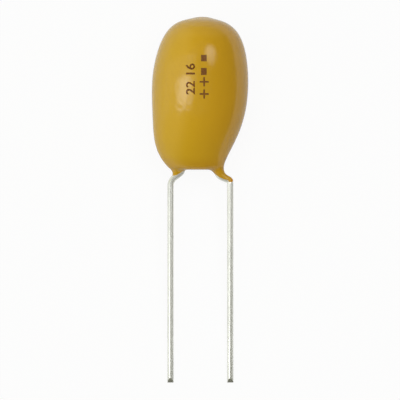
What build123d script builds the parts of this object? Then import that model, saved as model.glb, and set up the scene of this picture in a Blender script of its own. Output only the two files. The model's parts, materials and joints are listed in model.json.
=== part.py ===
from build123d import *
from math import atan2, cos, degrees, radians, sin, sqrt, tan
import os

# Dipped solid tantalum capacitor with two radial leads, in millimetres.
#
# It is modelled standing: +Z towards the head of the resin bead, X across the
# leads with the positive one at +X, the marked face towards -Y, and z = 0 on the
# underside of the bead between the leads. At the end it is laid on its back, head
# towards +Y and marked face up, as it comes to rest on the bead and both tips.

# ---- leads
LEAD_PITCH = 5.08  # between the straight runs
WIRE_DIAMETER = 0.53
LEAD_REACH = 18.1  # underside of the bead to the tips
POSITIVE_KINK = 1.61  # middle to the corner below the resin where the wire bends out
NEGATIVE_KINK = 1.38
POSITIVE_KINK_DROP = 0.57  # underside to that corner
NEGATIVE_KINK_DROP = 0.06
POSITIVE_ELBOW_DROP = 0.98  # underside to the corner above the straight run
NEGATIVE_ELBOW_DROP = 0.95
KINK_BEND = 0.22  # radii on the inside of the bends
POSITIVE_ELBOW_BEND = 0.07
NEGATIVE_ELBOW_BEND = 0.62
BURIED_BEND = 0.28
NIP_HEIGHT = 0.38  # of the two bevels that the cutter leaves on a tip
NIP_LAND = 0.14  # flat left between them

# ---- anode: a sintered tantalum slug pressed round its riser wire
SLUG_DIAMETER = 4.6
SLUG_LENGTH = 7.5
SLUG_CHAMFER = 0.3
RISER_DIAMETER = 0.4
RISER_EMBED = 1.6  # into the slug
WASHER_DIAMETER = 1.6
WASHER_THICKNESS = 0.25

# ---- cathode: coats over the slug, each open round the riser
DIOXIDE = 0.10
GRAPHITE = 0.05
SILVER = 0.08
GRAPHITE_SETBACK = 0.7  # from the slug's riser end to the rim of the coat
SILVER_SETBACK = 1.1

# ---- joints to the leads
WELD_GAP = 0.2  # washer to the end of the positive lead
WELD_LENGTH = 0.6
WELD_BITE = 0.06  # how far the riser is pressed into the lead
LEAD_LAP = 3.6  # of the negative lead up the slug's side
SOLDER_FILM = 0.05  # between wire and silver
SOLDER_COVER = 0.26  # over the wire
SOLDER_LENGTH = 2.8
SOLDER_SPREAD = 2.1  # across the slug's side
SOLDER_CHAMFER = 0.45

# ---- resin left by the dip
ROOT = 2.8  # underside to the slug
CROWN_WALL = 2.47  # over the slug's head
SIDE_WALL = 1.57  # beside the slug, along X
FACE_WALL = 1.22  # before and behind it, along Y
UNDERSIDE_ROUND = 0.4
CROWN_ROUND = 1.5
POSITIVE_COVER = 0.20  # run down over the outer side of the slanted wire
POSITIVE_FILM = 0.025  # over the elbow, where it ends
POSITIVE_NECK_RADIUS = 0.54  # of the resin round the wire at the underside
POSITIVE_NECK_SHIFT = -0.12  # from the kink, outwards
NEGATIVE_NECK_RADIUS = 0.70  # of the cone that ends in a point on the wire
NEGATIVE_NECK_SHIFT = 0.46
NEGATIVE_POINT_RADIUS = 0.17


def corner(x, z):
    """Point in the plane of the leads."""
    return Vector(x, 0, z)


POSITIVE_SLANT = (
    corner(POSITIVE_KINK, -POSITIVE_KINK_DROP),
    corner(LEAD_PITCH / 2, -POSITIVE_ELBOW_DROP),
)
NEGATIVE_SLANT = (
    corner(-NEGATIVE_KINK, -NEGATIVE_KINK_DROP),
    corner(-LEAD_PITCH / 2, -NEGATIVE_ELBOW_DROP),
)
WIRE_RADIUS = WIRE_DIAMETER / 2
SLUG_RADIUS = SLUG_DIAMETER / 2
CATHODE = DIOXIDE + GRAPHITE + SILVER
CATHODE_RADIUS = SLUG_RADIUS + CATHODE
BEAD_HEIGHT = ROOT + SLUG_LENGTH + CATHODE + CROWN_WALL
HALF_WIDTH = CATHODE_RADIUS + SIDE_WALL
HALF_DEPTH = CATHODE_RADIUS + FACE_WALL
FROM_BELOW = (Align.CENTER, Align.CENTER, Align.MIN)
FROM_ABOVE = (Align.CENTER, Align.CENTER, Align.MAX)

# The bead's level sections are ellipses: height as a share of the bead's, then
# the reach to -X, to +X and along Y as shares of the half width and half depth.
# The side of the negative lead hangs lower, because its wire lies outside the slug.
# The back and front are fullest over the upper half, so that the part lies steady.
BEAD_SECTIONS = [
    (0.999, 0.090, 0.190, 0.150),
    (0.958, 0.505, 0.550, 0.600),
    (0.899, 0.705, 0.766, 0.840),
    (0.800, 0.861, 0.910, 0.990),
    (0.545, 1.006, 0.993, 0.965),
    (0.330, 0.992, 0.897, 0.840),
    (0.173, 0.943, 0.703, 0.650),
    (0.073, 0.815, 0.545, 0.460),
    (0.000, 0.645, 0.490, 0.270),
]


def bead():
    """Egg-shaped drop of resin that hangs lower on the side of the negative lead."""
    sections = []
    for height, left, right, depth in BEAD_SECTIONS:
        outline = Ellipse((left + right) / 2 * HALF_WIDTH, depth * HALF_DEPTH)
        centre = Vector((right - left) / 2 * HALF_WIDTH, 0, height * BEAD_HEIGHT)
        sections.append(Plane(centre) * outline)
    drop = loft(sections)
    crown = drop.edges().filter_by_position(Axis.Z, BEAD_HEIGHT * 0.99, BEAD_HEIGHT)
    drop = fillet(crown, CROWN_ROUND)
    lip = drop.edges().filter_by_position(Axis.Z, -0.01, 0.01)
    return fillet(lip, UNDERSIDE_ROUND)


def ring(centre, radius, direction):
    return Plane(centre, z_dir=direction) * Circle(radius)


def outer_side(slant):
    """Unit vectors along a wire's slant and square to it, away from the middle."""
    start, end = slant
    along = (end - start).normalized()
    side = start.X / abs(start.X)
    return along, corner(-along.Z * side, abs(along.X))


def run_down():
    """Resin that ran down the positive wire as far as its elbow."""
    start, end = POSITIVE_SLANT
    along, outward = outer_side(POSITIVE_SLANT)
    down = Vector(0, 0, -1)
    neck = corner(start.X + POSITIVE_NECK_SHIFT, 0)
    middle = start + (end - start) * 0.43 + outward * POSITIVE_COVER * 0.5
    last = start + (end - start) * 0.95 + outward * POSITIVE_COVER * 0.3
    rings = [
        ring(corner(neck.X * 0.85, ROOT * 0.3), POSITIVE_NECK_RADIUS * 1.3, down),
        ring(neck, POSITIVE_NECK_RADIUS, down + along * 0.35),
        ring(middle, WIRE_RADIUS + POSITIVE_COVER * 0.23, along),
        ring(last, WIRE_RADIUS * 1.02, along),
    ]
    bulb = Pos(start + (end - start) * 0.96) * Sphere(WIRE_RADIUS + POSITIVE_FILM)
    return loft(rings) + bulb


def meniscus():
    """Cone of resin that ends in a point on the negative wire's outer side."""
    start, end = NEGATIVE_SLANT
    along, outward = outer_side(NEGATIVE_SLANT)
    root = corner(start.X - NEGATIVE_NECK_SHIFT, ROOT * 0.12)
    point = start + (end - start) * 0.66 + outward * WIRE_RADIUS * 0.5
    axis = point - root
    cone = Cone(NEGATIVE_NECK_RADIUS, NEGATIVE_POINT_RADIUS, axis.length, align=FROM_BELOW)
    return Plane(root, z_dir=axis) * cone


def bend_radii(points, wanted):
    """Centre-line radius of each bend, held to what its shorter run has room for."""
    radii = []
    for before, at, after, radius in zip(points, points[1:], points[2:], wanted):
        half_turn = radians((at - before).get_angle(after - at)) / 2
        room = 0.48 * min((at - before).length, (after - at).length)
        radii.append(min(WIRE_RADIUS + radius, room / tan(half_turn)))
    return radii


def wire(points, wanted):
    """Round wire bent through the points, its last end nipped off by a cutter."""
    path = FilletPolyline(*points, radius=bend_radii(points, wanted))
    rod = sweep(ring(path @ 0, WIRE_RADIUS, path % 0), path)
    tip = points[-1]
    edge, side = NIP_LAND / 2, WIRE_DIAMETER
    slope = NIP_HEIGHT / (WIRE_RADIUS - edge)
    for face in (-1, 1):
        bevel = Polyline(
            (face * edge, tip.Z),
            (face * (edge + side), tip.Z + side * slope),
            (face * (edge + side), tip.Z - side),
            (face * edge, tip.Z - side),
            close=True,
        )
        wedge = extrude(Plane.YZ * make_face(bevel), side, both=True)
        rod -= Pos(tip.X, 0, 0) * wedge
    return rod


def riser_wire():
    top = ROOT + RISER_EMBED
    bottom = ROOT - WASHER_THICKNESS - WELD_GAP - WELD_LENGTH
    return Pos(0, 0, bottom) * Cylinder(RISER_DIAMETER / 2, top - bottom, align=FROM_BELOW)


def positive_lead():
    """Welded along the riser, then slanted out of the resin and to its hole."""
    weld_x = RISER_DIAMETER / 2 + WIRE_RADIUS - WELD_BITE
    top = ROOT - WASHER_THICKNESS - WELD_GAP
    turn = top - WELD_LENGTH - WIRE_RADIUS
    points = [
        corner(weld_x, top),
        corner(weld_x, turn),
        *POSITIVE_SLANT,
        corner(LEAD_PITCH / 2, -LEAD_REACH),
    ]
    return wire(points, [BURIED_BEND, KINK_BEND, POSITIVE_ELBOW_BEND])


def negative_lead():
    """Soldered up the slug's side, then slanted under it and to its hole."""
    lap_x = -(CATHODE_RADIUS + SOLDER_FILM + WIRE_RADIUS)
    turn = ROOT - WIRE_DIAMETER * 1.3
    points = [
        corner(lap_x, ROOT + LEAD_LAP),
        corner(lap_x, turn),
        *NEGATIVE_SLANT,
        corner(-LEAD_PITCH / 2, -LEAD_REACH),
    ]
    return wire(points, [BURIED_BEND, KINK_BEND, NEGATIVE_ELBOW_BEND])


def grown_slug(growth=0.0):
    """The slug's chamfered cylinder, grown evenly by the coats that lie on it."""
    height = SLUG_LENGTH + 2 * growth
    block = Cylinder(SLUG_RADIUS + growth, height, align=FROM_BELOW)
    rims = block.edges().filter_by(GeomType.CIRCLE)
    bevel = SLUG_CHAMFER + growth * (2 - sqrt(2))
    return Pos(0, 0, ROOT - growth) * chamfer(rims, bevel)


def cup(inner, outer, setback):
    """One coat between two growths of the slug, open towards the riser."""
    reach = CATHODE_RADIUS * 2
    mouth = Pos(0, 0, ROOT + setback) * Box(reach, reach, ROOT * 2, align=FROM_ABOVE)
    return grown_slug(outer) - grown_slug(inner) - mouth


def washer():
    return Pos(0, 0, ROOT) * Cylinder(WASHER_DIAMETER / 2, WASHER_THICKNESS, align=FROM_ABOVE)


def solder():
    """Saddle of solder that buries the end of the negative lead."""
    rise = SOLDER_FILM + WIRE_DIAMETER + SOLDER_COVER
    radius = SOLDER_SPREAD / 2
    block = Cylinder(radius, SOLDER_LENGTH, align=FROM_ABOVE)
    block = chamfer(block.edges().filter_by(GeomType.CIRCLE), SOLDER_CHAMFER)
    top = ROOT + LEAD_LAP + SOLDER_CHAMFER
    return Pos(radius - CATHODE_RADIUS - rise, 0, top) * block


def assemble():
    """Every piece in the standing frame, cut so that neighbours meet face to face."""
    riser = riser_wire()
    slug = grown_slug()
    envelope = grown_slug(CATHODE)
    minus = negative_lead()
    plus = positive_lead() - riser
    blob = solder() - envelope - minus
    drop = bead() + run_down() + meniscus()
    dioxide = cup(0, DIOXIDE, -DIOXIDE) - washer()
    graphite = cup(DIOXIDE, DIOXIDE + GRAPHITE, GRAPHITE_SETBACK)
    silver = cup(DIOXIDE + GRAPHITE, CATHODE, SILVER_SETBACK)
    inside = [slug, dioxide, graphite, silver, washer(), riser, blob, minus, plus]
    for piece in inside:
        drop -= piece
    return {
        "resin_coat": drop,
        "tantalum_slug": slug - riser,
        "riser_wire": riser,
        "insulating_washer": washer() - riser,
        "manganese_dioxide_layer": dioxide,
        "graphite_layer": graphite,
        "silver_layer": silver,
        "cathode_solder": blob,
        "negative_lead": minus,
        "positive_lead": plus,
    }


def resting_tilt(drop):
    """Angle that brings the back of the bead and of both tips to one plane."""
    heel = Vector(0, WIRE_RADIUS, -LEAD_REACH + NIP_HEIGHT)
    points, _ = drop.tessellate(0.01)
    return max(atan2(point.Y - heel.Y, point.Z - heel.Z) for point in points)


def laid_down(pieces):
    """Turn the standing pieces onto their back and set the origin under them."""
    tilt = resting_tilt(pieces["resin_coat"])
    turned = {name: piece.rotate(Axis.X, degrees(tilt) - 90) for name, piece in pieces.items()}
    boxes = [piece.bounding_box() for piece in turned.values()]
    middle_x = (min(box.min.X for box in boxes) + max(box.max.X for box in boxes)) / 2
    middle_y = (min(box.min.Y for box in boxes) + max(box.max.Y for box in boxes)) / 2
    ground = (NIP_HEIGHT - LEAD_REACH) * sin(tilt) - WIRE_RADIUS * cos(tilt)
    shift = Pos(-middle_x, -middle_y, -ground)
    return {name: shift * piece for name, piece in turned.items()}


def main():
    os.makedirs("parts", exist_ok=True)
    for name, piece in laid_down(assemble()).items():
        export_step(piece, f"parts/{name}.step")


if __name__ == "__main__":
    main()
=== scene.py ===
import json
from math import pi, radians

import bpy
from bpy.props import (
    FloatProperty, FloatVectorProperty, IntProperty, PointerProperty, StringProperty,
)
from mathutils import Matrix, Vector

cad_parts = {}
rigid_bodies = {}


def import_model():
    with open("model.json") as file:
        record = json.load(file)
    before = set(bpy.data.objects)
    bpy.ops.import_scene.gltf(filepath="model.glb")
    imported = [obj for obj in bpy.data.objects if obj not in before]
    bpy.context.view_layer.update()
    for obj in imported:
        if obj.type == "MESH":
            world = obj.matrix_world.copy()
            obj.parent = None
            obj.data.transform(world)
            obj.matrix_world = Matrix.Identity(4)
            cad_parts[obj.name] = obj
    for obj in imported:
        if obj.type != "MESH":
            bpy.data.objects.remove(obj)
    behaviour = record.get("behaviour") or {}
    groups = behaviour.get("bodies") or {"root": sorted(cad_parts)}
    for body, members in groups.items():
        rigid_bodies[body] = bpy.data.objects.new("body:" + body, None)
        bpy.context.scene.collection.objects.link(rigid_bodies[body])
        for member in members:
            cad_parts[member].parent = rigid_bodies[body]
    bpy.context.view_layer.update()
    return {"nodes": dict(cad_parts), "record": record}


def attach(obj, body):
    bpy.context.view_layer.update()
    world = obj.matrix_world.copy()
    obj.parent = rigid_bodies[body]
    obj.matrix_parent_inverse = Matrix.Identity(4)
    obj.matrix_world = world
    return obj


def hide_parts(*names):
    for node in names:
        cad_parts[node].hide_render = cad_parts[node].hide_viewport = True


# Looks of a dipped tantalum capacitor that lies on its back: amber resin, tinned
# wires, brown marking, and the parts that the resin hides.
#
# Places on the part are in millimetres: across the leads, with the positive one at
# plus; headward from the underside of the bead; and out of the marked face.

bl_info = {
    "name": "Dipped tantalum capacitor",
    "version": (1, 0, 0),
    "blender": (4, 5, 0),
    "location": "View3D > Sidebar > Capacitor",
    "description": "Builds the resin, wires, marking and finishes around the packed model",
    "category": "Object",
}

MM = 0.001

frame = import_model()
NODES = frame["nodes"]
LEADS = ("negative_lead", "positive_lead")


# ---- the capacitor's own axes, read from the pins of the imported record


def pin(name):
    """Point on a pin in metres, its direction towards the tip, and its radius in millimetres."""
    for mount in frame["record"]["mounts"]:
        if mount["name"] == name:
            centre, axis = Vector(mount["pos_m"]), Vector(mount["axis"])
            return centre, axis.normalized(), mount["dims"]["r_mm"]
    raise RuntimeError(f"the record has no pin named {name}")


POSITIVE_PIN, TIPWARD, WIRE_RADIUS = pin("positive_pin")
NEGATIVE_PIN = pin("negative_pin")[0]
ACROSS = Vector((1, 0, 0))
HEADWARD = -TIPWARD
FACEWARD = ACROSS.cross(HEADWARD)
LEAD_PITCH = (POSITIVE_PIN - NEGATIVE_PIN).dot(ACROSS) / MM
TIP = -18.1  # height of the wires' tips
TURN = Matrix((ACROSS, HEADWARD, FACEWARD)).transposed()
TURN_BACK = TURN.transposed()


def underside():
    """Middle of the bead's underside in metres, in the plane of both wires."""
    middle = (POSITIVE_PIN + NEGATIVE_PIN) / 2
    tips = min((v.co - middle).dot(HEADWARD) for v in NODES["positive_lead"].data.vertices)
    return middle + HEADWARD * (tips - TIP * MM)


ORIGIN = underside()


def on_part(point):
    """Place on the part of a point of the frame."""
    return (TURN_BACK @ (point - ORIGIN)) / MM


# ---- sizes and colours that a user would change


class ResinSettings(bpy.types.PropertyGroup):
    """Amber epoxy skin left by the dip"""

    grain: FloatProperty(
        name="Grain", description="Cell size of the skin's mesh",
        default=0.075 * MM, min=0.05 * MM, unit="LENGTH", precision=6,
    )
    inset: FloatProperty(
        name="Wire inset", description="How far the skin stays inside the surface of a bare wire",
        default=0.035 * MM, unit="LENGTH", precision=6,
    )
    soften: IntProperty(
        name="Soften", description="Passes that round the skin's creases", default=6,
    )
    flow: IntProperty(
        name="Flow", description="Passes that round the resin at the necks and at the top",
        default=80,
    )
    swell: FloatProperty(
        name="Swell", description="How far the necks are let out again after softening",
        default=0.012 * MM, unit="LENGTH", precision=6,
    )
    colour: FloatVectorProperty(
        name="Amber", description="Body of the resin", subtype="COLOR", size=3,
        default=(0.618, 0.366, 0.012), min=0, max=1,
    )
    # The darker amber below marks random specks, and is painted shade across towards the positive
    # side and down to the underside.
    speck_and_shade: FloatVectorProperty(
        name="Speck and shade amber", description="Darker amber of specks, and painted shade towards the positive side and the underside",
        subtype="COLOR", size=3, default=(0.512, 0.264, 0.008), min=0, max=1,
    )
    thin: FloatVectorProperty(
        name="Run-down", description="Thin resin that runs down the positive wire",
        subtype="COLOR", size=3, default=(0.53, 0.285, 0.011), min=0, max=1,
    )
    tip: FloatVectorProperty(
        name="Run-down's end", description="Thinnest resin, over the positive wire's elbow",
        subtype="COLOR", size=3, default=(0.62, 0.215, 0.005), min=0, max=1,
    )


class MarkingSettings(bpy.types.PropertyGroup):
    """Brown marking on the face of the bead"""

    line: StringProperty(
        name="Line", description="Plain digits that stand for value and voltage", default="22 16",
    )
    cap: FloatProperty(
        name="Digit height", description="Height of the digits and of the plus marks",
        default=0.77 * MM, unit="LENGTH", precision=6,
    )
    stroke: FloatProperty(
        name="Stroke", description="Line width of the plus marks", default=0.145 * MM,
        unit="LENGTH", precision=6,
    )
    film: FloatProperty(
        name="Film", description="Thickness of the ink", default=0.006 * MM, unit="LENGTH",
        precision=6,
    )
    ink: FloatVectorProperty(
        name="Ink", description="Colour of the marking", subtype="COLOR", size=3,
        default=(0.165, 0.058, 0.003), min=0, max=1,
    )


class WireSettings(bpy.types.PropertyGroup):
    """Tinned copper leads"""

    tin: FloatVectorProperty(
        name="Tin", description="Colour of the bright plating", subtype="COLOR", size=3,
        default=(0.97, 0.97, 0.93), min=0, max=1,
    )
    cut: FloatVectorProperty(
        name="Cut", description="Colour of the nipped tip", subtype="COLOR", size=3,
        default=(0.52, 0.52, 0.45), min=0, max=1,
    )
    streak: FloatProperty(
        name="Streak", description="Roughness of the drawn and plated surface", default=0.22,
        min=0, max=1, subtype="FACTOR",
    )


class StageSettings(bpy.types.PropertyGroup):
    """Floor, lamps and camera"""

    distance: FloatProperty(
        name="Camera distance", description="From the part to the lens", default=0.30,
        unit="LENGTH",
    )
    lens: FloatProperty(name="Lens", description="Focal length in millimetres", default=317.6)
    aim_height: FloatProperty(
        name="Aim", description="Height above the underside of what the camera looks at",
        default=-2.59 * MM, unit="LENGTH", precision=6,
    )
    aim_across: FloatProperty(
        name="Aim across", description="Place of the same point across the part",
        default=-0.034 * MM, unit="LENGTH", precision=6,
    )


# ---- helpers that the pieces share

WELD = 0.0001 * MM  # points closer than this become one
SMOOTH_FACTOR = 0.5  # how far one pass moves a point towards its neighbours


def deselect():
    if bpy.context.object and bpy.context.object.mode != "OBJECT":
        bpy.ops.object.mode_set(mode="OBJECT")
    bpy.ops.object.select_all(action="DESELECT")


def activate(piece, *others):
    """Select a piece, with any others, and make it the active one."""
    deselect()
    for each in (*others, piece):
        each.select_set(True)
    bpy.context.view_layer.objects.active = piece


def start_edit(piece):
    activate(piece)
    bpy.ops.object.mode_set(mode="EDIT")


def end_edit():
    bpy.ops.object.mode_set(mode="OBJECT")


def edit_where(piece, test):
    """Open a piece's mesh with the points selected whose place on the part passes a test."""
    start_edit(piece)
    bpy.ops.mesh.select_mode(type="VERT")
    bpy.ops.mesh.select_all(action="DESELECT")
    end_edit()
    for vertex in piece.data.vertices:
        vertex.select = test(*on_part(vertex.co))
    bpy.ops.object.mode_set(mode="EDIT")


def copy_of(names, title):
    """One merged mesh copied from CAD nodes, which stay as they are."""
    activate(*(NODES[name] for name in names))
    bpy.ops.object.duplicate()
    bpy.context.view_layer.objects.active = bpy.context.selected_objects[0]
    bpy.ops.object.join()
    piece = bpy.context.view_layer.objects.active
    for key in list(piece.keys()):
        if key.startswith("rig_"):
            del piece[key]
    bpy.ops.object.parent_clear(type="CLEAR")
    piece.name = title
    piece.data.name = title
    start_edit(piece)
    bpy.ops.mesh.select_all(action="SELECT")
    bpy.ops.mesh.customdata_custom_splitnormals_clear()
    bpy.ops.mesh.remove_doubles(threshold=WELD)
    end_edit()
    return piece


def apply_modifier(piece, kind, **settings):
    activate(piece)
    modifier = piece.modifiers.new(kind.title(), kind)
    for key, value in settings.items():
        setattr(modifier, key, value)
    bpy.ops.object.modifier_apply(modifier=modifier.name)


def apply_place(piece):
    activate(piece)
    bpy.ops.object.transform_apply(location=True, rotation=True, scale=True)


def finish_piece(piece, slot, *nodes):
    """Carry a piece on the part's one body, in place of the nodes that it stands for."""
    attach(piece, "root")
    if nodes:
        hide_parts(*nodes)


def dress(piece, material):
    piece.data.materials.clear()
    piece.data.materials.append(material)


# ---- materials


class Nodes:
    """Short way to lay out the node tree of a material or of the world."""

    def __init__(self, holder, output="ShaderNodeOutputMaterial"):
        holder.use_nodes = True
        self.holder = holder
        self.tree = holder.node_tree
        self.tree.nodes.clear()
        self.output = self.add(output)

    def feed(self, socket, value):
        """Link a socket to another node's output, or set it to a plain value."""
        if isinstance(value, bpy.types.NodeSocket):
            self.tree.links.new(value, socket)
        else:
            socket.default_value = value

    def add(self, kind, **values):
        """A node with its settings, whose names are in lower case, and its inputs."""
        node = self.tree.nodes.new(kind)
        settings = [key for key in values if key in node.bl_rna.properties]
        for key in settings:
            setattr(node, key, values.pop(key))
        for key, value in values.items():
            self.feed(node.inputs[key.replace("_", " ")], value)
        return node

    def place(self):
        """Place on the part as one vector."""
        where = self.add("ShaderNodeTexCoord").outputs["Object"]
        moved = self.add(
            "ShaderNodeMapping", vector_type="POINT", Vector=where,
            Location=-(TURN_BACK @ ORIGIN) / MM, Rotation=TURN_BACK.to_euler(),
            Scale=(1 / MM,) * 3,
        )
        return moved.outputs["Vector"]

    def apart(self, vector):
        """The three parts of a vector."""
        return self.add("ShaderNodeSeparateXYZ", Vector=vector).outputs

    def noise(self, where, scale, detail, stretch=(1, 1, 1)):
        """Noise of so many cells to the unit; a stretch under 1 draws them out along an axis."""
        spread = self.add("ShaderNodeMapping", Vector=where, Scale=stretch).outputs["Vector"]
        node = self.add("ShaderNodeTexNoise", Vector=spread, Scale=scale, Detail=detail)
        return node.outputs["Fac"]

    def fit(self, value, low, high, to_low=0.0, to_high=1.0):
        """Ease a value from one range to another, held at both ends."""
        node = self.add(
            "ShaderNodeMapRange", interpolation_type="SMOOTHSTEP", Value=value,
            From_Min=low, From_Max=high, To_Min=to_low, To_Max=to_high,
        )
        return node.outputs["Result"]

    def math(self, operation, first, second=0.0):
        node = self.add("ShaderNodeMath", operation=operation)
        self.feed(node.inputs[0], first)
        self.feed(node.inputs[1], second)
        return node.outputs[0]

    def times(self, first, second):
        return self.math("MULTIPLY", first, second)

    def plus(self, first, second):
        return self.math("ADD", first, second)

    def blend(self, factor, first, second):
        """Colour between two colours, each a node's output or red, green and blue."""
        node = self.add("ShaderNodeMix", data_type="RGBA")
        sockets = {socket.identifier: socket for socket in node.inputs}
        self.feed(sockets["Factor_Float"], factor)
        for name, colour in (("A_Color", first), ("B_Color", second)):
            linked = isinstance(colour, bpy.types.NodeSocket)
            self.feed(sockets[name], colour if linked else (*colour, 1))
        return next(s for s in node.outputs if s.identifier == "Result_Color")

    def bump(self, height, depth, strength, **over):
        """Normal of a relief so many millimetres deep, over another normal if one is given."""
        node = self.add(
            "ShaderNodeBump", Height=height, Distance=depth * MM, Strength=strength, **over,
        )
        return node.outputs["Normal"]

    def shader(self, **inputs):
        self.show(self.add("ShaderNodeBsdfPrincipled", **inputs).outputs[0])
        return self.holder

    def show(self, surface):
        self.tree.links.new(surface, self.output.inputs["Surface"])


def shade(colour, share):
    """A colour made darker or paler, with no part of it over 1."""
    return tuple(min(1.0, part * share) for part in colour)


# A band of noise or of places says where a tone is none and where it is full. A noise
# says its cells to the millimetre, its detail and any stretch, and a relief its depth
# in millimetres and its strength.

# painted shade: the resin turns to the darker amber across the bead towards the positive side
SHADED_SIDE = (-3.6, 3.6)  # across
SHADED_SIDE_SHARE = 0.85
MOTTLE_NOISE = (0.35, 3)
MOTTLE_SHARE = 0.15
# painted shade: the resin turns darker down to the underside
SHADED_UNDERSIDE = (1.3, 0.1)  # height
SHADED_UNDERSIDE_SHARE = 0.40
SPECK_NOISE = (9.0, 2)
SPECK_BAND = (0.35, 0.75)
SPECK_SHARE = 0.10
RUN_HEIGHTS = (0.05, -0.50)
RUN_SIDE = (0.6, 1.4)  # across
END_HEIGHTS = (-0.6, -0.9)
END_SIDE = (2.42, 2.72)  # across
END_SHARE = 0.7
RIPPLE_NOISE = (0.55, 1)
RIPPLE_RELIEF = (0.04, 0.3)
PEEL_NOISE = (3.5, 2)
PEEL_RELIEF = (0.003, 0.4)
SHEEN_NOISE = (1.3, 3)
SHEEN_BAND = (0.2, 0.8)
RESIN_ROUGHNESS = (0.09, 0.14)
RESIN_IOR = 1.54


def amber_epoxy(look):
    """Glossy resin: darker towards the positive side and the underside as painted shade, and orange
    where it runs thin over a wire.
    """
    n = Nodes(bpy.data.materials.new("Amber_epoxy"))
    where = n.place()
    across, height, _ = n.apart(where)
    # painted shade towards the positive side, with a random mottle
    depth = n.plus(
        n.times(n.fit(across, *SHADED_SIDE), SHADED_SIDE_SHARE),
        n.times(n.noise(where, *MOTTLE_NOISE), MOTTLE_SHARE),
    )
    # painted shade down to the underside
    depth = n.plus(depth, n.fit(height, *SHADED_UNDERSIDE, 0.0, SHADED_UNDERSIDE_SHARE))
    body = n.blend(depth, look.colour, look.speck_and_shade)
    speck = n.fit(n.noise(where, *SPECK_NOISE), *SPECK_BAND, 0.0, SPECK_SHARE)
    body = n.blend(speck, body, look.speck_and_shade)
    run = n.times(n.fit(height, *RUN_HEIGHTS), n.fit(across, *RUN_SIDE))
    body = n.blend(run, body, look.thin)
    end = n.times(n.fit(across, *END_SIDE), n.fit(height, *END_HEIGHTS))
    body = n.blend(n.times(end, END_SHARE), body, look.tip)
    ripple = n.bump(n.noise(where, *RIPPLE_NOISE), *RIPPLE_RELIEF)
    peel = n.bump(n.noise(where, *PEEL_NOISE), *PEEL_RELIEF, Normal=ripple)
    rough = n.fit(n.noise(where, *SHEEN_NOISE), *SHEEN_BAND, *RESIN_ROUGHNESS)
    return n.shader(Base_Color=body, Roughness=rough, IOR=RESIN_IOR, Normal=peel)


WEAR_NOISE = (7.0, 3)
WEAR_BAND = (0.35, 0.8)
WEAR_SHARE = 0.55
WORN_SHADE = 1.8
INK_ROUGHNESS = 0.4
INK_IOR = 1.5
INK_SHINE = 0.25


def brown_ink(look):
    """Printing ink, paler where it has worn."""
    n = Nodes(bpy.data.materials.new("Brown_ink"))
    wear = n.fit(n.noise(n.place(), *WEAR_NOISE), *WEAR_BAND)
    colour = n.blend(n.times(wear, WEAR_SHARE), look.ink, shade(look.ink, WORN_SHADE))
    return n.shader(
        Base_Color=colour, Roughness=INK_ROUGHNESS, IOR=INK_IOR, Specular_IOR_Level=INK_SHINE,
    )


STREAK_NOISE = (5.0, 3, (1.0, 0.04, 1.0))
STREAK_RELIEF = (0.003, 0.25)
BLOTCH_NOISE = (1.6, 4, (1.0, 0.30, 1.0))
BLOTCH_BAND = (0.40, 0.75)
BLOTCH_SHADE = 0.84
GREY_HEIGHTS = (TIP + 3.1, TIP + 0.2)
GREY_SHARE = 0.12
NIP_HEIGHTS = (TIP + 0.50, TIP + 0.38)
NIP_RADII = (0.985, 0.93)  # shares of the wire's own radius
NIP_SHARE = 0.92
TEAR_NOISE = (4.5, 2)
TEAR_LENGTH = 0.30
TORN_HEIGHTS = (TIP, TIP + 0.12)
TORN_SHADE = 0.78
TIN_METAL = 0.65
TIN_IOR = 1.5
SHINE_BAND = (0.3, 0.8)
SHINE_SHARES = (0.85, 1.25)  # of the streak setting, where the wire is brightest and dullest


def tinned(look):
    """Bright tin with faint drawing streaks, greyer near the tips and bare where nipped."""
    n = Nodes(bpy.data.materials.new("Tinned_wire"))
    where = n.place()
    across, height, out = n.apart(where)
    blotch = n.noise(where, *BLOTCH_NOISE)
    colour = n.blend(n.fit(blotch, *BLOTCH_BAND), look.tin, shade(look.tin, BLOTCH_SHADE))
    colour = n.blend(n.times(n.fit(height, *GREY_HEIGHTS), GREY_SHARE), colour, look.cut)
    aside = n.math("SUBTRACT", n.math("ABSOLUTE", across), LEAD_PITCH / 2)
    squares = n.plus(n.math("POWER", aside, 2.0), n.math("POWER", out, 2.0))
    inside = n.fit(squares, *((WIRE_RADIUS * share) ** 2 for share in NIP_RADII))
    nipped = n.times(inside, n.fit(height, *NIP_HEIGHTS))
    tear = n.times(n.noise(where, *TEAR_NOISE), TEAR_LENGTH)
    torn = n.fit(n.math("SUBTRACT", height, tear), *TORN_HEIGHTS)
    bare = n.blend(torn, shade(look.cut, TORN_SHADE), look.cut)
    colour = n.blend(n.times(nipped, NIP_SHARE), colour, bare)
    rough = n.fit(blotch, *SHINE_BAND, *(look.streak * share for share in SHINE_SHARES))
    streaks = n.bump(n.noise(where, *STREAK_NOISE), *STREAK_RELIEF)
    return n.shader(
        Base_Color=colour, Metallic=TIN_METAL, Roughness=rough, Normal=streaks, IOR=TIN_IOR,
    )


GRAIN_DETAIL = 5
GRAIN_SHARE = 0.7
CLOUD_NOISE = (0.7, 2)
CLOUD_SHARE = 0.3
TONE_BAND = (0.3, 0.7)
UNEVEN_BAND = (0.2, 0.8)
UNEVEN = 0.08  # either way in the roughness
GRAIN_STRENGTH = 0.7


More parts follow.
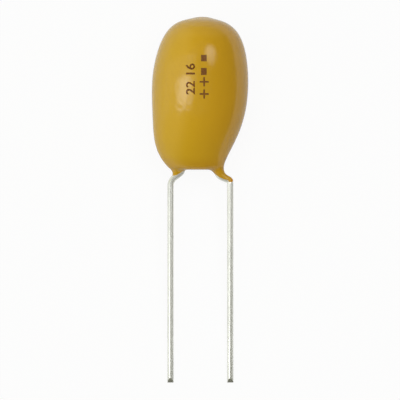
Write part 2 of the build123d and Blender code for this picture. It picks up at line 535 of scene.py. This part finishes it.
def grainy(title, dark, pale, scale, rough, metallic, depth):
    """Grainy finish of a pressed, baked, painted or cast piece."""
    n = Nodes(bpy.data.materials.new(title))
    where = n.place()
    grain = n.noise(where, scale, GRAIN_DETAIL)
    cloud = n.noise(where, *CLOUD_NOISE)
    mixed = n.plus(n.times(grain, GRAIN_SHARE), n.times(cloud, CLOUD_SHARE))
    colour = n.blend(n.fit(mixed, *TONE_BAND), dark, pale)
    roughness = n.fit(grain, *UNEVEN_BAND, rough - UNEVEN, rough + UNEVEN)
    bump = n.bump(grain, depth, GRAIN_STRENGTH)
    return n.shader(Base_Color=colour, Roughness=roughness, Metallic=metallic, Normal=bump)


DRAWN_NOISE = (9.0, 3, (1.0, 0.06, 1.0))
DRAWN_SHADE = 0.8
DRAWN_RELIEF = (0.004, 0.5)


def drawn_metal(title, colour, rough):
    """Bare metal with the streaks of the die that it was drawn through."""
    n = Nodes(bpy.data.materials.new(title))
    streaks = n.noise(n.place(), *DRAWN_NOISE)
    tone = n.blend(n.fit(streaks, *TONE_BAND), colour, shade(colour, DRAWN_SHADE))
    bump = n.bump(streaks, *DRAWN_RELIEF)
    return n.shader(Base_Color=tone, Metallic=1.0, Roughness=rough, Normal=bump)


# ---- operators: one for each piece or group of like pieces

# bands of places where the resin is rounded: none, full, full, none
NEGATIVE_FLOW = (-3.6, -2.8, -1.5, -1.05)  # across
POSITIVE_FLOW = (0.4, 0.9, 2.3, 2.9)  # across
FLOW_HEIGHTS = (-0.55, -0.25, 0.35, 0.90)
CROWN_HEIGHTS = (11.3, 12.3, 14.0, 15.0)
TRIM_HEIGHT = -1.45  # below this only the wires are left


class CAPACITOR_OT_resin(bpy.types.Operator):
    """Flow one resin skin over the bead and its run-downs"""

    bl_idname = "capacitor.resin"
    bl_label = "Resin skin"

    def execute(self, context):
        look = context.scene.capacitor_resin
        skin = copy_of(sorted(set(NODES) - set(LEADS)), "Resin_skin")
        wires = copy_of(LEADS, "Buried_wires")
        start_edit(wires)
        bpy.ops.mesh.select_all(action="SELECT")
        bpy.ops.transform.shrink_fatten(value=-look.inset)
        activate(skin, wires)
        bpy.ops.object.join()
        apply_modifier(skin, "REMESH", mode="VOXEL", voxel_size=look.grain)
        apply_modifier(skin, "SMOOTH", factor=SMOOTH_FACTOR, iterations=look.soften)
        ease(skin, "Necks", look.flow, in_necks)
        ease(skin, "Crown", look.flow, in_crown)
        swell_necks(skin, look.swell)
        trim_wires(skin)
        bpy.ops.object.shade_smooth()
        dress(skin, amber_epoxy(look))
        finish_piece(skin, "epoxy_resin", "resin_coat")
        return {"FINISHED"}


def share_in(value, band):
    """How far a value stands inside a band that fades at both ends, from 0 to 1."""
    none_low, full_low, full_high, none_high = band
    rise = (value - none_low) / (full_low - none_low)
    fall = (none_high - value) / (none_high - full_high)
    return max(0.0, min(1.0, rise, fall))


def in_necks(across, height, out):
    """Round the crease between the bead and its necks, so that the resin flows into them."""
    inside = max(share_in(across, NEGATIVE_FLOW), share_in(across, POSITIVE_FLOW))
    return inside * share_in(height, FLOW_HEIGHTS)


def in_crown(across, height, out):
    """Round the top of the bead, where the drop was last to run off."""
    return share_in(height, CROWN_HEIGHTS)


def ease(skin, title, passes, weigh):
    """Smooth the skin as far as a function of the place on the part says."""
    group = skin.vertex_groups.new(name=title)
    for vertex in skin.data.vertices:
        weight = weigh(*on_part(vertex.co))
        if weight > 0:
            group.add([vertex.index], weight, "REPLACE")
    apply_modifier(skin, "SMOOTH", factor=SMOOTH_FACTOR, iterations=passes, vertex_group=title)
    skin.vertex_groups.clear()


def swell_necks(skin, distance):
    """Let the thin resin round the wires out by what the softening took."""
    edit_where(skin, lambda across, height, out: height < 0)
    bpy.ops.transform.shrink_fatten(value=distance)
    end_edit()


def trim_wires(skin):
    """Take off the bare wires, which the skin only needed while it flowed round them."""
    edit_where(skin, lambda across, height, out: height < TRIM_HEIGHT)
    bpy.ops.mesh.delete(type="VERT")
    bpy.ops.mesh.select_all(action="DESELECT")
    bpy.ops.mesh.select_non_manifold(extend=False)
    bpy.ops.mesh.edge_face_add()
    bpy.ops.mesh.select_all(action="SELECT")
    bpy.ops.mesh.normals_make_consistent(inside=False)
    end_edit()


class CAPACITOR_OT_leads(bpy.types.Operator):
    """Give both leads their bright tin finish"""

    bl_idname = "capacitor.leads"
    bl_label = "Leads"

    def execute(self, context):
        metal = tinned(context.scene.capacitor_wire)
        for name in LEADS:
            dress(NODES[name], metal)
        return {"FINISHED"}


# title, dark and pale colour, cells to the millimetre, roughness, metal and depth of relief
FINISHES = {
    "tantalum_slug": (
        "Sintered_tantalum", (0.035, 0.035, 0.042), (0.12, 0.12, 0.14), 9.0, 0.75, 0.6, 0.05,
    ),
    "manganese_dioxide_layer": (
        "Manganese_dioxide", (0.005, 0.004, 0.004), (0.020, 0.017, 0.016), 6.0, 0.8, 0.0, 0.03,
    ),
    "graphite_layer": (
        "Graphite", (0.012, 0.012, 0.014), (0.045, 0.045, 0.05), 5.0, 0.5, 0.2, 0.01,
    ),
    "silver_layer": (
        "Silver_paint", (0.42, 0.42, 0.40), (0.66, 0.66, 0.63), 7.0, 0.38, 0.9, 0.01,
    ),
    "cathode_solder": (
        "Solder", (0.36, 0.37, 0.38), (0.58, 0.59, 0.60), 2.5, 0.26, 1.0, 0.02,
    ),
    "insulating_washer": (
        "Ptfe_washer", (0.70, 0.70, 0.66), (0.82, 0.82, 0.79), 3.0, 0.45, 0.0, 0.004,
    ),
}
RISER_COLOUR = (0.22, 0.22, 0.25)
RISER_ROUGHNESS = 0.35


class CAPACITOR_OT_inner_parts(bpy.types.Operator):
    """Finish the slug, its coats, the washer, the riser and the solder"""

    bl_idname = "capacitor.inner_parts"
    bl_label = "Hidden parts"

    def execute(self, context):
        for name, finish in FINISHES.items():
            dress(NODES[name], grainy(*finish))
        riser = drawn_metal("Tantalum_wire", RISER_COLOUR, RISER_ROUGHNESS)
        dress(NODES["riser_wire"], riser)
        return {"FINISHED"}


# places and sizes of the marks on the face, in millimetres
DIGITS_ACROSS = -0.84
DIGITS_HEIGHT = 7.58
DIGITS_LENGTH = 2.60
DIGITS_STEPS = 3  # to each curved part of a digit
BOLDNESS = 0.018  # of the digits, as a share of their size
PLUS_ACROSS = 0.315
PLUS_HEIGHTS = (6.32, 7.34)
BAR_ACROSS = 0.29
BAR_WIDTH = 0.47
BARS = ((7.91, 8.50), (9.05, 9.60))  # heights of the ends of each
MARK_TITLES = ("Digits", "Plus_low", "Plus_high", "Bar_low", "Bar_high")
INK_CELL = 0.2  # of the flat mark, so that it can bend
INK_START = 6  # out of the face, before the mark is pressed down
INK_SEAT = 0.008  # of the mark over the resin


class CAPACITOR_OT_marking(bpy.types.Operator):
    """Print plain digits, two plus marks and two bars on the face"""

    bl_idname = "capacitor.marking"
    bl_label = "Marking"

    def execute(self, context):
        look = context.scene.capacitor_marking
        skin = bpy.data.objects["Resin_skin"]
        ink = brown_ink(look)
        pieces = [digits(look)]
        pieces += [plus_mark(look, height) for height in PLUS_HEIGHTS]
        pieces += [upright_bar(low, high) for low, high in BARS]
        for title, piece in zip(MARK_TITLES, pieces):
            piece.name = title
            wrap_on_face(piece, skin, look.film)
            dress(piece, ink)
            finish_piece(piece, "epoxy_resin")
        return {"FINISHED"}


def digits(look):
    """Line of digits that reads headward, still flat."""
    deselect()
    bpy.ops.object.text_add()
    text = bpy.context.object
    text.data.body = look.line
    text.data.align_x = "CENTER"
    text.data.align_y = "CENTER"
    text.data.resolution_u = DIGITS_STEPS
    text.data.offset = BOLDNESS
    bpy.ops.object.convert(target="MESH")
    piece = bpy.context.object
    size = piece.dimensions.copy()
    piece.scale = (DIGITS_LENGTH * MM / size.x, look.cap / size.y, 1)
    apply_place(piece)
    corners = [Vector(corner) for corner in piece.bound_box]
    piece.location = -(sum(corners, Vector()) / len(corners))
    apply_place(piece)
    piece.rotation_euler = (0, 0, radians(90))
    piece.location = (DIGITS_ACROSS * MM, DIGITS_HEIGHT * MM, 0)
    apply_place(piece)
    return piece


def flat_bar(across, height, width, length):
    """Rectangle about a place on the part, still flat."""
    deselect()
    bpy.ops.mesh.primitive_plane_add(size=1.0)
    bar = bpy.context.object
    bar.scale = (width * MM, length * MM, 1)
    bar.location = (across * MM, height * MM, 0)
    apply_place(bar)
    return bar


def plus_mark(look, height):
    """A bar along the part with an arm on each side."""
    reach, stroke = look.cap / MM, look.stroke / MM
    middle = flat_bar(PLUS_ACROSS, height, stroke, reach)
    arm = (reach - stroke) / 2
    places = [PLUS_ACROSS + side * (stroke + arm) / 2 for side in (-1, 1)]
    activate(middle, *[flat_bar(place, height, arm, stroke) for place in places])
    bpy.ops.object.join()
    return middle


def upright_bar(low, high):
    return flat_bar(BAR_ACROSS, (low + high) / 2, BAR_WIDTH, high - low)


def wrap_on_face(piece, skin, film):
    """Cut a flat mark into small cells, press it down onto the resin and give it a film."""
    start_edit(piece)
    for direction in (Vector((1, 0, 0)), Vector((0, 1, 0))):
        reach = [v.co.dot(direction) for v in piece.data.vertices]
        cut = min(reach) + INK_CELL * MM
        while cut < max(reach):
            bpy.ops.mesh.select_all(action="SELECT")
            bpy.ops.mesh.bisect(plane_co=direction * cut, plane_no=direction)
            cut += INK_CELL * MM
    end_edit()
    piece.matrix_world = Matrix.Translation(ORIGIN + FACEWARD * INK_START * MM) @ TURN.to_4x4()
    apply_modifier(
        piece, "SHRINKWRAP", target=skin, wrap_method="PROJECT", use_project_z=True,
        use_negative_direction=True, use_positive_direction=False, offset=INK_SEAT * MM,
        wrap_mode="ABOVE_SURFACE",
    )
    apply_modifier(piece, "SOLIDIFY", thickness=film, offset=-1.0)
    apply_place(piece)


# ---- floor, lamps, room and camera

# sizes and distances of the stage are in metres
FLOOR_SIZE = 3.0
PAPER = (0.72, 0.72, 0.72, 1)
WHITE = (1, 1, 1, 1)
TOOTH_NOISE = (900.0, 2.0)  # cells to the metre, and detail
TOOTH_RELIEF = (0.02, 0.2)  # depth in millimetres, and strength
SEEN_IN_MIRRORS = 0.3  # share of plain white that a mirrored or refracted ray meets
SEEN_BY_CAMERA = 0.93  # and that the camera's own ray meets

LAMP_DISTANCE = 0.25
LAMP_STEP = 0.002  # between the ellipses of one soft lamp
LIT_PLACE = (0, 6.5, 0)  # what the lamps look at, in millimetres on the part
# title, direction, radiance, width, length, number of ellipses and the smallest one's share
SOFT_LAMPS = (
    ("Left_box", (-0.550, -0.198, 0.820), 4.1, 0.222, 0.043, 6, 0.20),
    ("Right_box", (0.385, 0.215, 0.89), 2.6, 0.16, 0.165, 4, 0.45),
)
FILL_LAMP = ("Fill", (0.0, 0.13, 1.0), 1.86, 0.30, 0.30)

ROOM_BASE = 0.136
ROOM_TINT = (0.98, 1.0, 0.78)
# axis of the direction, where the glow starts and is full, and its strength
ROOM_GLOW = (
    ("X", -0.15, -0.75, 0.50),
    ("Y", 0.50, 0.90, 0.30),
    ("Z", 0.25, -0.10, 0.20),
)
# the strip stands square to the wires on the negative side
STRIP_SIDE = (-0.08, -0.42)
STRIP_RIM = (0.30, 0.12)
STRIP_GLOW = 0.86
STRIP_TINT = (0.965, 1.0, 0.95)

CLIP_START = 0.01


class CAPACITOR_OT_stage(bpy.types.Operator):
    """Set the floor, the soft lamps and the camera"""

    bl_idname = "capacitor.stage"
    bl_label = "Stage"

    def execute(self, context):
        look = context.scene.capacitor_stage
        lay_floor()
        hang_lamps()
        light_world(context.scene)
        stand_camera(look)
        return {"FINISHED"}


def lay_floor():
    """Plain pale paper, nearly white to the camera."""
    deselect()
    bpy.ops.mesh.primitive_plane_add(size=FLOOR_SIZE, location=(0, 0, 0))
    floor = bpy.context.object
    floor.name = "Floor"
    n = Nodes(bpy.data.materials.new("Floor_paper"))
    where = n.add("ShaderNodeTexCoord").outputs["Object"]
    tooth = n.bump(n.noise(where, *TOOTH_NOISE), *TOOTH_RELIEF)
    matt = n.add("ShaderNodeBsdfDiffuse", Color=PAPER, Normal=tooth)
    glow = n.add("ShaderNodeEmission", Color=WHITE, Strength=1.0)
    rays = n.add("ShaderNodeLightPath").outputs
    mirrored = n.math("MAXIMUM", rays["Is Glossy Ray"], rays["Is Transmission Ray"])
    share = n.math(
        "MAXIMUM", n.times(mirrored, SEEN_IN_MIRRORS),
        n.times(rays["Is Camera Ray"], SEEN_BY_CAMERA),
    )
    mix = n.add("ShaderNodeMixShader", Fac=share)
    n.feed(mix.inputs[1], matt.outputs[0])
    n.feed(mix.inputs[2], glow.outputs[0])
    n.show(mix.outputs[0])
    dress(floor, n.holder)


def lamp(title, direction, radiance, width, length, distance=LAMP_DISTANCE, seen=True):
    """Elliptical lamp that looks at the bead from a direction in the part's own axes."""
    towards = (TURN @ Vector(direction)).normalized()
    side = (ACROSS - towards * ACROSS.dot(towards)).normalized()
    data = bpy.data.lights.new(title, "AREA")
    data.shape = "ELLIPSE"
    data.size = width
    data.size_y = length
    data.energy = radiance * pi * (pi / 4) * width * length
    holder = bpy.data.objects.new(title, data)
    bpy.context.scene.collection.objects.link(holder)
    turn = Matrix((side, towards.cross(side), towards)).transposed()
    lit = ORIGIN + TURN @ Vector(LIT_PLACE) * MM
    holder.matrix_world = Matrix.Translation(lit + towards * distance) @ turn.to_4x4()
    holder.visible_glossy = seen


def soft_lamp(title, direction, radiance, width, length, layers, core):
    """Lamp whose light fades towards its rim: ellipses one behind the other."""
    for layer in range(layers):
        size = core + (1 - core) * layer / (layers - 1)
        lamp(
            f"{title}_{layer}", direction, radiance / layers, width * size, length * size,
            LAMP_DISTANCE + LAMP_STEP * layer,
        )


def hang_lamps():
    for row in SOFT_LAMPS:
        soft_lamp(*row)
    lamp(*FILL_LAMP, seen=False)


def light_world(scene):
    """Pale room: bright on the negative side and low down, dark overhead, with one bright strip."""
    scene.world = bpy.data.worlds.new("Studio")
    n = Nodes(scene.world, "ShaderNodeOutputWorld")
    direction = n.apart(n.add("ShaderNodeTexCoord").outputs["Generated"])
    light = ROOM_BASE
    for axis, start, full, strength in ROOM_GLOW:
        light = n.plus(n.fit(direction[axis], start, full, 0.0, strength), light)
    headward = n.plus(
        n.times(direction["Y"], HEADWARD.y), n.times(direction["Z"], HEADWARD.z),
    )
    rim = n.fit(n.math("ABSOLUTE", headward), *STRIP_RIM)
    strip = n.times(n.fit(direction["X"], *STRIP_SIDE), rim)
    light = n.math("MAXIMUM", light, n.times(strip, STRIP_GLOW))
    tint = n.blend(strip, ROOM_TINT, STRIP_TINT)
    n.show(n.add("ShaderNodeBackground", Color=tint, Strength=light).outputs[0])


def stand_camera(look):
    """Camera that looks square at the marked face."""
    data = bpy.data.cameras.new("Camera")
    data.lens = look.lens
    data.clip_start = CLIP_START
    camera = bpy.data.objects.new("Camera", data)
    bpy.context.scene.collection.objects.link(camera)
    aim = ORIGIN + TURN @ Vector((look.aim_across, look.aim_height, 0))
    camera.matrix_world = Matrix.Translation(aim + FACEWARD * look.distance) @ TURN.to_4x4()
    bpy.context.scene.camera = camera


class CAPACITOR_PT_sidebar(bpy.types.Panel):
    """Lists the pieces of the capacitor"""

    bl_idname = "CAPACITOR_PT_sidebar"
    bl_label = "Tantalum capacitor"
    bl_space_type = "VIEW_3D"
    bl_region_type = "UI"
    bl_category = "Capacitor"

    def draw(self, context):
        for operator, settings in PIECES:
            self.layout.operator(operator)
            if settings:
                group = getattr(context.scene, settings)
                for name in type(group).__annotations__:
                    self.layout.prop(group, name)


PIECES = (
    ("capacitor.resin", "capacitor_resin"),
    ("capacitor.marking", "capacitor_marking"),
    ("capacitor.leads", "capacitor_wire"),
    ("capacitor.inner_parts", None),
    ("capacitor.stage", "capacitor_stage"),
)
SETTINGS = {
    "capacitor_resin": ResinSettings,
    "capacitor_marking": MarkingSettings,
    "capacitor_wire": WireSettings,
    "capacitor_stage": StageSettings,
}
CLASSES = (
    *SETTINGS.values(),
    CAPACITOR_OT_resin,
    CAPACITOR_OT_marking,
    CAPACITOR_OT_leads,
    CAPACITOR_OT_inner_parts,
    CAPACITOR_OT_stage,
    CAPACITOR_PT_sidebar,
)


def register():
    for cls in CLASSES:
        bpy.utils.register_class(cls)
    for name, group in SETTINGS.items():
        setattr(bpy.types.Scene, name, PointerProperty(type=group))


def unregister():
    for name in SETTINGS:
        delattr(bpy.types.Scene, name)
    for cls in reversed(CLASSES):
        bpy.utils.unregister_class(cls)


def main():
    register()
    scene = bpy.context.scene
    scene.view_settings.view_transform = "Standard"
    bpy.ops.capacitor.resin()
    bpy.ops.capacitor.marking()
    bpy.ops.capacitor.leads()
    bpy.ops.capacitor.inner_parts()
    bpy.ops.capacitor.stage()


if __name__ == "__main__":
    main()
